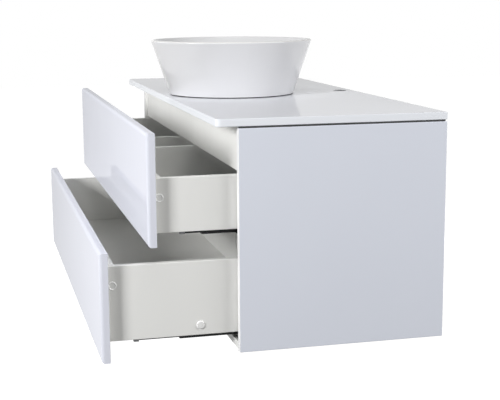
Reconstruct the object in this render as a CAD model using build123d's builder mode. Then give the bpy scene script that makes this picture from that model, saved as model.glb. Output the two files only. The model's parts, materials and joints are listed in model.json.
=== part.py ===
from build123d import *
import os

# Wall-hung bathroom vanity: a two-drawer cabinet, a counter and a round vessel basin.
# X runs to the right, Y towards the wall and Z up, all in millimetres.
# The wall is the plane Y = 0, and the origin is the centre of the four wall screws.
# Both drawers stand open, as far as upper_open and lower_open say.

# Cabinet
cabinet_width = 1200
side_depth = 450
side_height = 465
board = 16
board_edge = 0.8
hang_drop = 65
bottom_lift = 3
apron_height = 92
apron_setback = 8
back_rail_height = 80
wall_gap = 28
tap_notch_width = 140
tap_notch_depth = 50

# Counter
counter_thickness = 16
counter_overhang = 45
counter_gap = 4
counter_corner = 12
counter_edge = 1.5
tap_hole_diameter = 35
tap_hole_from_wall = 34
pad_width = 10
pad_inset = 3
bracket_leg = 40
bracket_width = 30
bracket_sheet = 2.5
bracket_from_wall = 120
bracket_from_front = 70

# Basin, with heights above the counter
basin_from_wall = 321
basin_rim_radius = 201
basin_base_radius = 156
basin_height = 135
basin_rim = 7
basin_rim_round = 3.2
basin_base_round = 1.5
basin_foot_inset = 13
basin_foot_width = 13
basin_lift = 2
basin_hollow = 6
basin_floor = 13
basin_floor_rise = 6
basin_floor_inset = 11
basin_bowl_round = 40
basin_boss_radius = 48
foot_slope = 3

# Waste
waste_radius = 21
waste_wall = 3.5
waste_tail = 50
waste_flange_radius = 32
waste_flange = 2.5
waste_recess = 3
gasket = 1.5
hole_clearance = 2
thread_clearance = 0.2
seal_radius = 36
seal_thickness = 3
lock_nut_radius = 31
lock_nut_height = 10
plug_radius = 30
plug_edge = 2
plug_dome = 3
plug_lift_gap = 0.3
stem_radius = 4
stem_length = 44
stem_clearance = 0.06
guide_radius = 7
guide_length = 10
guide_depth = 12
guide_ribs = 3
guide_rib_width = 3

# Trap and outlet pipe
pipe_radius = 16
pipe_wall = 1.5
pipe_clearance = 0.3
pipe_dip = 119
collar_height = 3
nut_radius = 26
nut_sides = 12
nut_height = 18
nut_lip = 4
trap_radius = 31
trap_wall = 2.5
trap_neck = 20
trap_shoulder = 10
trap_body_height = 60
trap_below_tail = 44
cup_overlap = 14
cup_height = 57
cup_round = 14
outlet_below_neck = 53
outlet_reach = 58
outlet_overlap = 12
spigot_length = 60
spigot_bevel = 1
bead_width = 3
bead_height = 1.2

# Wall hangers, with heights above the origin
plate_width = 34
plate_sheet = 2.5
plate_from_side = 4
plate_margin = 12
wall_screw_spacing = 24
wall_screw_hole = 3.5
lip_height = 16
lip_gap = 5
hook_thickness = 3.3
hook_drop = 12
hook_clearance = 0.3
arm_height = 12
arm_width = 4
arm_inset = 10
hanger_width = 14
hanger_length = 48
hanger_height = 46
hanger_round = 4
slot_clearance = 2

# Drawer fronts, with heights above the cabinet's underside
front_thickness = 18
front_round = 7
lower_front_height = 226
fronts_gap = 6
front_top_gap = 4
front_gap = 2
upper_open = 166
lower_open = 265

# Drawer boxes
box_gap = 5
box_back_gap = 23
lower_box_bottom = 39
lower_box_height = 156
upper_box_height = 112
upper_box_gap = 4
well_width = 180
well_front = 85

# Runners
runner_setback = 4
runner_back_gap = 2
slide_setback = 14
slide_shortfall = 18
slide_width = 24
slide_height = 22
sheet = 1.5
runner_play = 0.5
carrier_gap = 2
carrier_setback = 60
carrier_drop = 7
tongue_width = 10
tongue_rise = 32
flange_rise = 10
runner_screw_drop = 2
runner_screw_margin = 30

# Small drawer fittings
cap_radius = 8.5
cap_proud = 1.2
cap_taper = 20
cap_rim = 2
cap_dish = 0.7
cap_stem_radius = 2.5
cap_stem_length = 8
cap_from_top = 40
cap_from_end = 9.5
dome_radius = 8.5
dome_proud = 2.5
dome_from_front = 189
glide_length = 11
glide_width = 12
glide_height = 5
glide_from_front = 56
clip_width = 34
clip_length = 44
clip_plate = 4
clip_gap = 2
clip_lever_length = 38
clip_lever_width = 9
clip_lever_drop = 6
clip_lever_angle = 20

# Screws
screw_radius = 1.75
screw_clearance = 0.15
screw_head_radius = 3.75
screw_head = 2
runner_screw_length = 12
front_screw_bite = 12
front_screw_spacing = 300
front_screw_count = 4

# Levels and places that follow from the sizes above
half_width = cabinet_width / 2
inner_x = half_width - board
front_y = -side_depth
top_z = hang_drop
bottom_z = top_z - side_height
counter_z = top_z + counter_gap
counter_top = counter_z + counter_thickness
bottom_board_top = bottom_z + bottom_lift + board
back_rail_y = -wall_gap
basin_y = -basin_from_wall
basin_axis = Axis((0, basin_y, 0), (0, 0, 1))
basin_plane = Plane(origin=(0, basin_y, counter_top), x_dir=(1, 0, 0), z_dir=(0, -1, 0))

box_outer_x = inner_x - box_gap
box_inner_x = box_outer_x - board
floor_recess = slide_height / 2 + runner_play + sheet
closed_y = front_y - front_gap
box_length = back_rail_y - board - box_back_gap - closed_y
upper_y = closed_y - upper_open
lower_y = closed_y - lower_open
carrier_width = slide_width + 2 * (runner_play + sheet)
runner_x = box_inner_x - carrier_gap - carrier_width / 2
runner_back = back_rail_y - board - runner_back_gap
runner_length = runner_back - front_y - runner_setback
slide_length = runner_length - slide_shortfall
runner_screw_y = [
    runner_back - runner_screw_margin,
    runner_back - runner_length / 2,
    runner_back - runner_length + runner_screw_margin,
]
upper_box_bottom = side_height - apron_height - upper_box_gap - upper_box_height
box_bottoms = [bottom_z + upper_box_bottom, bottom_z + lower_box_bottom]

os.makedirs("parts", exist_ok=True)


def save(piece, label):
    """Label a finished piece and write it to its own file."""
    piece.label = label
    export_step(piece, f"parts/{label}.step")


def other_side(piece):
    """The same piece mirrored to the left of the cabinet."""
    with BuildPart() as mirrored:
        mirror(piece, about=Plane.YZ)
    return mirrored.part


def flat_board(x_span, y_span, z_span):
    """A board between the given limits, with its arrises eased."""
    with BuildPart() as panel:
        with BuildSketch(Plane.XY.offset(z_span[0])):
            with Locations((sum(x_span) / 2, sum(y_span) / 2)):
                Rectangle(x_span[1] - x_span[0], y_span[1] - y_span[0])
        extrude(amount=z_span[1] - z_span[0])
        chamfer(panel.edges(), board_edge)
    return panel.part


def ring(inner, outer, low, high):
    """A flat ring on the basin's axis, with heights above the counter."""
    with BuildPart() as washer:
        with BuildSketch(Plane((0, basin_y, counter_top + low))):
            Circle(outer)
            Circle(inner, mode=Mode.SUBTRACT)
        extrude(amount=high - low)
    return washer.part


def pan_screw(length):
    """A pan-head screw along +Z, with the underside of its head at the origin."""
    with BuildPart() as screw:
        with BuildSketch():
            Circle(screw_radius)
        extrude(amount=length)
        with BuildSketch():
            Circle(screw_head_radius)
        extrude(amount=-screw_head)
        rim = screw.faces().sort_by(Axis.Z)[0].edges()
        fillet(rim, screw_head / 2)
    return screw.part


# Side panels, with pilot holes for the runner screws
with BuildPart() as side_panel:
    with BuildSketch(Plane.YZ.offset(inner_x)):
        with Locations((front_y / 2, bottom_z + side_height / 2)):
            Rectangle(side_depth, side_height)
    extrude(amount=board)
    chamfer(side_panel.edges(), board_edge)
    with BuildSketch(Plane.YZ.offset(inner_x)):
        with Locations(*[(y, z - runner_screw_drop) for y in runner_screw_y for z in box_bottoms]):
            Circle(screw_radius + screw_clearance)
    extrude(amount=runner_screw_length, mode=Mode.SUBTRACT)
save(side_panel.part, "side_panel_right")
save(other_side(side_panel.part), "side_panel_left")

# Bottom board and front apron
bottom_board = flat_board(
    (-inner_x, inner_x), (front_y, back_rail_y), (bottom_z + bottom_lift, bottom_board_top)
)
save(bottom_board, "bottom_board")
apron_y = front_y + apron_setback
apron = flat_board((-inner_x, inner_x), (apron_y, apron_y + board), (top_z - apron_height, top_z))
save(apron, "front_apron")

# Hook and lip of the wall hangers, which the upper back rail makes room for
plate_half = wall_screw_spacing / 2 + plate_margin
lip_top = plate_half + lip_height
arm_low = lip_top + hook_clearance
arm_x = inner_x - arm_inset - arm_width / 2

# Back rails: the upper one is notched for the tap's shank and slotted for the hanger arms
with BuildPart() as back_rail_upper:
    with BuildSketch(Plane.XZ.offset(-back_rail_y)):
        with Locations((0, top_z - back_rail_height / 2)):
            Rectangle(2 * inner_x, back_rail_height)
        with Locations((0, top_z)):
            Rectangle(tap_notch_width, 2 * tap_notch_depth, mode=Mode.SUBTRACT)
        with Locations(*[(side * arm_x, arm_low + arm_height / 2) for side in (-1, 1)]):
            Rectangle(arm_width + 2 * slot_clearance, arm_height + 2 * slot_clearance, mode=Mode.SUBTRACT)
    extrude(amount=board)
save(back_rail_upper.part, "back_rail_upper")
back_rail_lower = flat_board(
    (-inner_x, inner_x),
    (back_rail_y - board, back_rail_y),
    (bottom_board_top, bottom_board_top + back_rail_height),
)
save(back_rail_lower, "back_rail_lower")

# Counter, with rounded front corners, the tap hole and the waste hole
waste_hole = waste_radius + hole_clearance
with BuildPart() as countertop:
    with BuildSketch(Plane.XY.offset(counter_z)):
        with Locations((0, (front_y - counter_overhang) / 2)):
            Rectangle(cabinet_width, side_depth + counter_overhang)
    extrude(amount=counter_thickness)
    fillet(countertop.edges().filter_by(Axis.Z).group_by(Axis.Y)[0], counter_corner)
    fillet(countertop.edges().group_by(Axis.Z)[0] + countertop.edges().group_by(Axis.Z)[-1], counter_edge)
    with Locations((0, -tap_hole_from_wall, counter_top)):
        Hole(tap_hole_diameter / 2)
    with Locations((0, basin_y, counter_top)):
        Hole(waste_hole)
save(countertop.part, "countertop")

# Strips that hold the counter clear of the side panels, the upper back rail and the apron
rail_strip_x = (inner_x + tap_notch_width / 2) / 2
with BuildPart() as counter_pads:
    with BuildSketch(Plane.XY.offset(top_z)):
        with Locations((half_width - board / 2, front_y / 2)):
            Rectangle(pad_width, side_depth - 2 * pad_inset)
        with Locations((rail_strip_x, back_rail_y - board / 2)):
            Rectangle(inner_x - tap_notch_width / 2 - 2 * pad_inset, pad_width)
    extrude(amount=counter_gap)
    mirror(about=Plane.YZ)
    with BuildSketch(Plane.XY.offset(top_z)):
        with Locations((0, apron_y + board / 2)):
            Rectangle(2 * (inner_x - pad_inset), pad_width)
    extrude(amount=counter_gap)
save(counter_pads.part, "counter_pads")

# Angle brackets that hold the counter down on the side panels
with BuildPart() as counter_brackets:
    for bracket_y in (-bracket_from_wall, front_y + bracket_from_front):
        with BuildSketch(Plane.XZ.offset(-bracket_y - bracket_width / 2)):
            with BuildLine():
                Polyline(
                    (inner_x, counter_z - bracket_leg), (inner_x, counter_z), (inner_x - bracket_leg, counter_z)
                )
                offset(amount=bracket_sheet, side=Side.LEFT)
            make_face()
        extrude(amount=bracket_width)
    mirror(about=Plane.YZ)
save(counter_brackets.part, "counter_brackets")

# Wall plates: flat on the wall, then bent out into a lip for the hook
plate_x = inner_x - plate_from_side - plate_width / 2
with BuildPart() as wall_plates:
    with BuildSketch(Plane.YZ.offset(plate_x - plate_width / 2)):
        with BuildLine():
            Polyline((0, -plate_half), (0, plate_half), (-lip_gap, plate_half), (-lip_gap, lip_top))
            offset(amount=plate_sheet, side=Side.LEFT, kind=Kind.INTERSECTION)
        make_face()
    extrude(amount=plate_width)
    with BuildSketch(Plane.XZ):
        with Locations(*[(plate_x, side * wall_screw_spacing / 2) for side in (-1, 1)]):
            Circle(wall_screw_hole)
    extrude(amount=plate_sheet, mode=Mode.SUBTRACT)
    mirror(about=Plane.YZ)
save(wall_plates.part, "wall_plates")

# Hangers: a housing on the side panel and an arm that hooks over the wall plate
hook_y = -(lip_gap - hook_thickness) / 2
hanger_back = back_rail_y - board
with BuildPart() as hangers:
    with BuildSketch(Plane.YZ.offset(inner_x - hanger_width)):
        with Locations((hanger_back - hanger_length / 2, arm_low)):
            RectangleRounded(hanger_length, hanger_height, hanger_round)
    extrude(amount=hanger_width)
    with BuildSketch(Plane.YZ.offset(arm_x - arm_width / 2)):
        with BuildLine():
            Polyline(
                (hanger_back - hanger_length / 2, arm_low),
                (-lip_gap - plate_sheet - hook_clearance, arm_low),
                (hook_y - hook_thickness, arm_low),
                (hook_y - hook_thickness, arm_low - hook_drop),
                (hook_y, arm_low - hook_drop),
                (hook_y, arm_low + arm_height),
                (hanger_back - hanger_length / 2, arm_low + arm_height),
                close=True,
            )
        make_face()
    extrude(amount=arm_width)
    mirror(about=Plane.YZ)
save(hangers.part, "hangers")

# Basin: a straight-sided cone outside and a rounded bowl inside, on a recessed foot ring
basin_foot_radius = basin_base_radius - basin_foot_inset
basin_floor_radius = basin_base_radius - basin_floor_inset
recess_z = basin_floor - waste_recess
recess_radius = waste_flange_radius + hole_clearance
with BuildPart() as basin:
    with BuildSketch(basin_plane) as basin_section:
        with BuildLine():
            Polyline(
                (waste_hole, basin_lift),
                (basin_boss_radius, basin_lift),
                (basin_boss_radius, basin_hollow),
                (basin_foot_radius - basin_foot_width - foot_slope, basin_hollow),
                (basin_foot_radius - basin_foot_width, 0),
                (basin_foot_radius, 0),
                (basin_foot_radius + foot_slope, basin_lift),
                (basin_base_radius, basin_lift),
                (basin_rim_radius, basin_height),
                (basin_rim_radius - basin_rim, basin_height),
                (basin_floor_radius, basin_floor + basin_floor_rise),
                (recess_radius, basin_floor),
                (recess_radius, recess_z),
                (waste_hole, recess_z),
                close=True,
            )
        make_face()
        corners = basin_section.vertices()
        rim_corners = corners.group_by(Axis.Y)[-1]
        base_corner = corners.sort_by_distance((basin_base_radius, basin_lift))[0]
        bowl_corner = corners.sort_by_distance((basin_floor_radius, basin_floor + basin_floor_rise))[0]
        fillet(rim_corners, basin_rim_round)
        fillet(base_corner, basin_base_round)
        fillet(bowl_corner, basin_bowl_round)
    revolve(axis=basin_axis)
save(basin.part, "basin")
save(ring(waste_hole, basin_boss_radius, 0, basin_lift), "basin_seal")

# Waste: a flanged tube with a ribbed guide for the plug's stem
flange_low = recess_z + gasket
flange_top = flange_low + waste_flange
tail_z = -counter_thickness - waste_tail
waste_bore = waste_radius - waste_wall
with BuildPart() as waste_body:
    with BuildSketch(basin_plane):
        with BuildLine():
            Polyline(
                (waste_bore, tail_z),
                (waste_radius, tail_z),
                (waste_radius, flange_low),
                (waste_flange_radius, flange_low),
                (waste_flange_radius, flange_top - waste_flange / 2),
                (waste_flange_radius - waste_flange / 2, flange_top),
                (waste_bore, flange_top),
                close=True,
            )
        make_face()
    revolve(axis=basin_axis)
    guide_plane = Plane((0, basin_y, counter_top - guide_depth))
    with BuildSketch(guide_plane):
        Circle(guide_radius)
        with PolarLocations((guide_radius + waste_bore) / 2, guide_ribs):
            Rectangle(waste_bore, guide_rib_width)
        Circle(stem_radius + stem_clearance, mode=Mode.SUBTRACT)
    extrude(amount=guide_length)
save(waste_body.part, "waste_body")
save(ring(waste_radius + thread_clearance, waste_flange_radius, recess_z, flange_low), "waste_gasket")
seal_low = -counter_thickness - seal_thickness
save(ring(waste_radius + thread_clearance, seal_radius, seal_low, -counter_thickness), "waste_seal")

# Lock nut under the counter
with BuildPart() as waste_nut:
    with BuildSketch(Plane((0, basin_y, counter_top + seal_low - lock_nut_height))):
        RegularPolygon(lock_nut_radius, 6)
        Circle(waste_radius + thread_clearance, mode=Mode.SUBTRACT)
    extrude(amount=lock_nut_height)
save(waste_nut.part, "waste_nut")

# Plug: a domed cover on a stem
plug_low = flange_top + plug_lift_gap
with BuildPart() as waste_plug:
    with BuildSketch(basin_plane):
        with BuildLine():
            Polyline(
                (0, plug_low + plug_edge + plug_dome),
                (0, plug_low - stem_length),
                (stem_radius, plug_low - stem_length),
                (stem_radius, plug_low),
                (plug_radius, plug_low),
                (plug_radius, plug_low + plug_edge),
            )
            RadiusArc(
                (plug_radius, plug_low + plug_edge),
                (0, plug_low + plug_edge + plug_dome),
                -(plug_radius**2 + plug_dome**2) / (2 * plug_dome),
            )
        make_face()
    revolve(axis=basin_axis)
save(waste_plug.part, "waste_plug")

# Bottle trap, with heights above the counter: inlet pipe, body, cup and outlet pipe
collar_radius = waste_radius - thread_clearance
neck_top = tail_z - trap_below_tail
neck_low = neck_top - trap_neck
body_top = neck_low - trap_shoulder
body_low = body_top - trap_body_height
outlet_z = neck_top - outlet_below_neck
pipe_bore = pipe_radius + pipe_clearance
with BuildPart() as trap_inlet_pipe:
    with BuildSketch(basin_plane):
        with BuildLine():
            Polyline(
                (pipe_radius - pipe_wall, tail_z),
                (collar_radius, tail_z),
                (collar_radius, tail_z - collar_height),
                (pipe_radius, tail_z - collar_height),
                (pipe_radius, tail_z - pipe_dip),
                (pipe_radius - pipe_wall, tail_z - pipe_dip),
                close=True,
            )
        make_face()
    revolve(axis=basin_axis)
save(trap_inlet_pipe.part, "trap_inlet_pipe")

outlet_plane = Plane(origin=(0, basin_y, counter_top + outlet_z), x_dir=(1, 0, 0), z_dir=(0, 1, 0))
with BuildPart() as trap_body:
    with BuildSketch(basin_plane):
        with BuildLine():
            Polyline(
                (0, neck_top),
                (waste_radius, neck_top),
                (waste_radius, neck_low),
                (trap_radius, body_top),
                (trap_radius, body_low),
                (0, body_low),
                close=True,
            )
        make_face()
    revolve(axis=basin_axis)
    with BuildSketch(outlet_plane):
        Circle(waste_radius)
    extrude(amount=outlet_reach)
    with BuildSketch(basin_plane):
        with BuildLine():
            Polyline(
                (0, neck_low),
                (pipe_bore, neck_low),
                (trap_radius - trap_wall, body_top),
                (trap_radius - trap_wall, body_low),
                (0, body_low),
                close=True,
            )
        make_face()
    revolve(axis=basin_axis, mode=Mode.SUBTRACT)
    with BuildSketch(basin_plane):
        with Locations((pipe_bore / 2, neck_top - trap_neck / 2)):
            Rectangle(pipe_bore, trap_neck)
    revolve(axis=basin_axis, mode=Mode.SUBTRACT)
    with BuildSketch(outlet_plane):
        Circle(pipe_bore)
    extrude(amount=outlet_reach, mode=Mode.SUBTRACT)
save(trap_body.part, "trap_body")

cup_radius = trap_radius + thread_clearance + trap_wall
cup_top = body_low + cup_overlap
cup_low = cup_top - cup_height
with BuildPart() as trap_cup:
    with BuildSketch(basin_plane) as cup_section:
        with Locations((cup_radius / 2, cup_top - cup_height / 2)):
            Rectangle(cup_radius, cup_height)
        fillet(cup_section.vertices().sort_by_distance((cup_radius, cup_low))[0], cup_round)
    revolve(axis=basin_axis)
    offset(amount=-trap_wall, openings=trap_cup.faces().sort_by(Axis.Z)[-1])
save(trap_cup.part, "trap_cup")

outlet_start = basin_y + outlet_reach - outlet_overlap
outlet_origin = (0, 0, counter_top + outlet_z)
with BuildPart() as outlet_pipe:
    with BuildSketch(Plane(origin=outlet_origin, x_dir=(0, 1, 0), z_dir=(1, 0, 0))):
        with BuildLine():
            Polyline(
                (outlet_start, pipe_radius - pipe_wall),
                (outlet_start, pipe_radius),
                (-spigot_length - bead_width, pipe_radius),
                (-spigot_length - bead_width, pipe_radius + bead_height),
                (-spigot_length, pipe_radius + bead_height),
                (-spigot_length, pipe_radius),
                (-spigot_bevel, pipe_radius),
                (0, pipe_radius - spigot_bevel),
                (0, pipe_radius - pipe_wall),
                close=True,
            )
        make_face()
    revolve(axis=Axis(outlet_origin, (0, 1, 0)))
save(outlet_pipe.part, "outlet_pipe")

# The three union nuts of the trap are alike: a faceted ring with a lip at one end
with BuildPart() as union_nut:
    with BuildSketch():
        RegularPolygon(nut_radius, nut_sides)
    extrude(amount=nut_height)
    with BuildSketch():
        Circle(waste_radius + thread_clearance)
    extrude(amount=nut_height - nut_lip, mode=Mode.SUBTRACT)
    with BuildSketch():
        Circle(pipe_bore)
    extrude(amount=nut_height, mode=Mode.SUBTRACT)
nut_reach = nut_height - nut_lip
tail_nut = Location((0, basin_y, counter_top + tail_z - collar_height + nut_reach), (180, 0, 0))
neck_nut = Location((0, basin_y, counter_top + neck_top - nut_reach))
outlet_nut = Location((0, basin_y + outlet_reach - nut_reach, counter_top + outlet_z), (-90, 0, 0))
with BuildPart() as trap_nuts:
    with Locations(tail_nut, neck_nut, outlet_nut):
        add(union_nut.part)
save(trap_nuts.part, "trap_nuts")

# Runner screws: three in each cabinet rail
with BuildPart() as runner_screws:
    flange_face = inner_x - sheet
    places = [
        Location((flange_face, y, z - runner_screw_drop), (0, 90, 0)) for y in runner_screw_y for z in box_bottoms
    ]
    with Locations(*places):
        add(pan_screw(runner_screw_length))
    mirror(about=Plane.YZ)
save(runner_screws.part, "runner_screws")


def cabinet_rail(box_low):
    """The runner member on the side panel: a flange, a web under the drawer and a guide."""
    web = box_low - slide_height / 2 - runner_play - sheet
    guide_top = box_low - carrier_drop - runner_play
    guide_in = runner_x - carrier_width / 2
    guide_out = runner_x + carrier_width / 2
    with BuildPart() as rail:
        with BuildSketch(Plane.XZ.offset(-runner_back)):
            with BuildLine():
                Polyline(
                    (inner_x, box_low + flange_rise), (inner_x, web), (guide_in, web), (guide_in, guide_top)
                )
                offset(amount=sheet, side=Side.RIGHT, kind=Kind.INTERSECTION)
            make_face()
            with Locations((guide_out - sheet / 2, (web + guide_top) / 2)):
                Rectangle(sheet, guide_top - web)
        extrude(amount=runner_length)
        with BuildSketch(Plane.YZ.offset(inner_x)):
            with Locations(*[(y, box_low - runner_screw_drop) for y in runner_screw_y]):
                Circle(screw_radius + screw_clearance)
        extrude(amount=-sheet, mode=Mode.SUBTRACT)
    return rail.part


def channel(y_back, length, z_open, z_web, width):
    """A sheet channel along the runner, open towards z_open."""
    rise = z_open - z_web
    with BuildPart() as section:
        with BuildSketch(Plane.XZ.offset(-y_back)):
            with Locations((runner_x, (z_open + z_web) / 2)):
                Rectangle(width, abs(rise))
            with Locations((runner_x, (z_open + z_web) / 2 + (sheet if rise > 0 else -sheet) / 2)):
                Rectangle(width - 2 * sheet, abs(rise) - sheet, mode=Mode.SUBTRACT)
        extrude(amount=length)
    return section.part


def middle_slide(box_low, opened):
    """The runner's middle member, which follows the drawer at half its travel."""
    y_back = front_y + slide_setback + slide_length - opened / 2
    return channel(y_back, slide_length, box_low + slide_height / 2, box_low - slide_height / 2, slide_width)


def drawer_carrier(box_low, drawer_y):
    """The runner member under the drawer floor, with a tongue bent up behind the drawer's back."""
    y_back = drawer_y + box_length
    web = box_low + floor_recess
    with BuildPart() as carrier:
        add(channel(y_back, box_length - carrier_setback, box_low - carrier_drop, web, carrier_width))
        with BuildSketch(Plane.XZ.offset(-y_back)):
            with Locations((runner_x, web - sheet + tongue_rise / 2)):
                Rectangle(tongue_width, tongue_rise)
        extrude(amount=-sheet)
    return carrier.part


def drawer_front(drawer_y, low, height, screw_z):
    """A drawer front with a rounded face edge and pilot holes for its screws."""
    with BuildPart() as front:
        with BuildSketch(Plane.XZ.offset(-drawer_y)):
            with Locations((0, low + height / 2)):
                Rectangle(cabinet_width, height)
        extrude(amount=front_thickness)
        face_edges = front.faces().sort_by(Axis.Y)[0].edges()
        back_edges = front.faces().sort_by(Axis.Y)[-1].edges()
        fillet(face_edges, front_round)
        chamfer(back_edges, board_edge)
        with BuildSketch(Plane.XZ.offset(-drawer_y)):
            with Locations((0, screw_z)):
                with GridLocations(front_screw_spacing, 0, front_screw_count, 1):
                    Circle(screw_radius + screw_clearance)
        extrude(amount=front_screw_bite + screw_clearance, mode=Mode.SUBTRACT)
    return front.part


def sub_front(drawer_y, low, high, screw_z):
    """The box's own front board, drilled for the screws that hold the drawer front."""
    with BuildPart() as panel:
        add(flat_board((-box_inner_x, box_inner_x), (drawer_y, drawer_y + board), (low, high)))
        with BuildSketch(Plane.XZ.offset(-drawer_y)):
            with Locations((0, screw_z)):
                with GridLocations(front_screw_spacing, 0, front_screw_count, 1):
                    Circle(screw_radius + screw_clearance)
        extrude(amount=-board, mode=Mode.SUBTRACT)
    return panel.part


def front_screws(drawer_y, screw_z):
    """The screws from inside the box into the drawer front."""
    with BuildPart() as screws:
        with Locations(Location((0, drawer_y + board, screw_z), (90, 0, 0))):
            with GridLocations(front_screw_spacing, 0, front_screw_count, 1):
                add(pan_screw(board + front_screw_bite))
    return screws.part


def cap_places(drawer_y, box_high):
    """Points on a box side where caps cover the screws into the front and the back."""
    ends = (drawer_y + cap_from_end, drawer_y + box_length - cap_from_end)
    return [(y, box_high - cap_from_top) for y in ends]


def dome_place(drawer_y, box_low):
    """The point on a box side where a dome covers the screw into the floor's edge."""
    return (drawer_y + dome_from_front, box_low + floor_recess + board / 2)


def box_side(drawer_y, box_low, box_high):
    """A box side with holes for the stems of its caps."""
    with BuildPart() as panel:
        y_span = (drawer_y, drawer_y + box_length)
        add(flat_board((box_inner_x, box_outer_x), y_span, (box_low, box_high)))
        with BuildSketch(Plane.YZ.offset(box_outer_x)):
            with Locations(*cap_places(drawer_y, box_high), dome_place(drawer_y, box_low)):
                Circle(cap_stem_radius + screw_clearance)
        extrude(amount=-cap_stem_length - screw_clearance, mode=Mode.SUBTRACT)
    return panel.part


def cover_caps(drawer_y, box_low, box_high):
    """Dished caps with a raised rim at the box corners and a dome at the middle of each side."""
    rings = cap_places(drawer_y, box_high)
    dome = dome_place(drawer_y, box_low)
    with BuildPart() as caps:
        with BuildSketch(Plane.YZ.offset(box_outer_x)):
            with Locations(*rings, dome):
                Circle(cap_stem_radius)
        extrude(amount=-cap_stem_length)
        with BuildSketch(Plane.YZ.offset(box_outer_x)):
            with Locations(*rings):
                Circle(cap_radius)
        extrude(amount=cap_proud, taper=cap_taper)
        with BuildSketch(Plane.YZ.offset(box_outer_x + cap_proud)):
            with Locations(*rings):
                Circle(cap_radius - cap_rim)
        extrude(amount=-cap_dish, mode=Mode.SUBTRACT)
        with BuildSketch(Plane(origin=(box_outer_x, *dome), x_dir=(0, 1, 0), z_dir=(0, 0, 1))):
            with BuildLine():
                Polyline((0, -dome_proud), (0, 0), (dome_radius, 0))
                RadiusArc((dome_radius, 0), (0, -dome_proud), (dome_radius**2 + dome_proud**2) / (2 * dome_proud))
            make_face()
        revolve(axis=Axis((box_outer_x, *dome), (1, 0, 0)))
        mirror(about=Plane.YZ)
    return caps.part


def side_glides(drawer_y, box_low):
    """Small pads under the lower edge of each box side, near the front."""
    with BuildPart() as glides:
        with BuildSketch(Plane.XY.offset(box_low)):
            with Locations((box_outer_x - board / 2, drawer_y + glide_from_front)):
                RectangleRounded(glide_width, glide_length, glide_length / 4)
        extrude(amount=-glide_height)
        mirror(about=Plane.YZ)
    return glides.part


def locking_clips(drawer_y, floor_low):
    """Clips under the front corners of the floor, each with a finger lever."""
    clip_x = runner_x - carrier_width / 2 - clip_gap - clip_width / 2
    clip_y = drawer_y + board + clip_length / 2
    with BuildPart() as clips:
        with BuildSketch(Plane.XY.offset(floor_low)):
            with Locations((clip_x, clip_y)):
                RectangleRounded(clip_width, clip_length, clip_plate)
        extrude(amount=-clip_plate)
        with BuildSketch(Plane.XY.offset(floor_low - clip_plate)):
            with Locations(Location((clip_x, clip_y), (0, 0, 90 + clip_lever_angle))):
                SlotOverall(clip_lever_length, clip_lever_width)
        extrude(amount=-(floor_recess - clip_plate + clip_lever_drop))
        mirror(about=Plane.YZ)
    return clips.part


# What the two drawers share
drawers = {
    "upper": (upper_y, upper_open, upper_box_bottom, upper_box_height),
    "lower": (lower_y, lower_open, lower_box_bottom, lower_box_height),
}
upper_front_low = bottom_z + lower_front_height + fronts_gap
fronts = {
    "upper": (upper_front_low, top_z - front_top_gap - upper_front_low),
    "lower": (bottom_z, lower_front_height),
}
for name, (drawer_y, opened, low_height, box_height) in drawers.items():
    box_low = bottom_z + low_height
    box_high = box_low + box_height
    floor_low = box_low + floor_recess
    screw_z = (floor_low + box_high) / 2
    front_low, front_height = fronts[name]
    save(drawer_front(drawer_y, front_low, front_height, screw_z), f"{name}_front")
    save(sub_front(drawer_y, floor_low, box_high, screw_z), f"{name}_sub_front")
    save(front_screws(drawer_y, screw_z), f"{name}_front_screws")
    save(cover_caps(drawer_y, box_low, box_high), f"{name}_cover_caps")
    save(side_glides(drawer_y, box_low), f"{name}_side_glides")
    save(locking_clips(drawer_y, floor_low), f"{name}_locking_clips")
    pairs = {
        "box_side": box_side(drawer_y, box_low, box_high),
        "runner_rail": cabinet_rail(box_low),
        "runner_slide": middle_slide(box_low, opened),
        "runner_carrier": drawer_carrier(box_low, drawer_y),
    }
    for piece_name, piece in pairs.items():
        save(piece, f"{name}_{piece_name}_right")
        save(other_side(piece), f"{name}_{piece_name}_left")

# Lower drawer: floor and back
lower_floor_low = bottom_z + lower_box_bottom + floor_recess
lower_floor_top = lower_floor_low + board
lower_box_top = bottom_z + lower_box_bottom + lower_box_height
lower_box_x = (-box_inner_x, box_inner_x)
lower_floor = flat_board(
    lower_box_x, (lower_y + board, lower_y + box_length), (lower_floor_low, lower_floor_top)
)
save(lower_floor, "lower_floor")
lower_back = flat_board(
    lower_box_x, (lower_y + box_length - board, lower_y + box_length), (lower_floor_top, lower_box_top)
)
save(lower_back, "lower_back")

# Upper drawer: a floor cut out round the trap, walls along the cut-out, and a back in two halves
upper_floor_low = bottom_z + upper_box_bottom + floor_recess
upper_walls = (upper_floor_low + board, bottom_z + upper_box_bottom + upper_box_height)
upper_back_y = upper_y + box_length
well_x = well_width / 2
well_y = upper_y + well_front
with BuildPart() as upper_floor:
    with BuildSketch(Plane.XY.offset(upper_floor_low)):
        with Locations((0, (upper_y + board + upper_back_y) / 2)):
            Rectangle(2 * box_inner_x, box_length - board)
        with Locations((0, (well_y + upper_back_y) / 2)):
            Rectangle(well_width, upper_back_y - well_y, mode=Mode.SUBTRACT)
    extrude(amount=board)
    chamfer(upper_floor.edges(), board_edge)
save(upper_floor.part, "upper_floor")
well_side = flat_board((well_x, well_x + board), (well_y - board, upper_back_y), upper_walls)
save(well_side, "well_wall_right")
save(other_side(well_side), "well_wall_left")
save(flat_board((-well_x, well_x), (well_y - board, well_y), upper_walls), "well_wall_front")
upper_back = flat_board((well_x + board, box_inner_x), (upper_back_y - board, upper_back_y), upper_walls)
save(upper_back, "upper_back_right")
save(other_side(upper_back), "upper_back_left")
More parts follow.
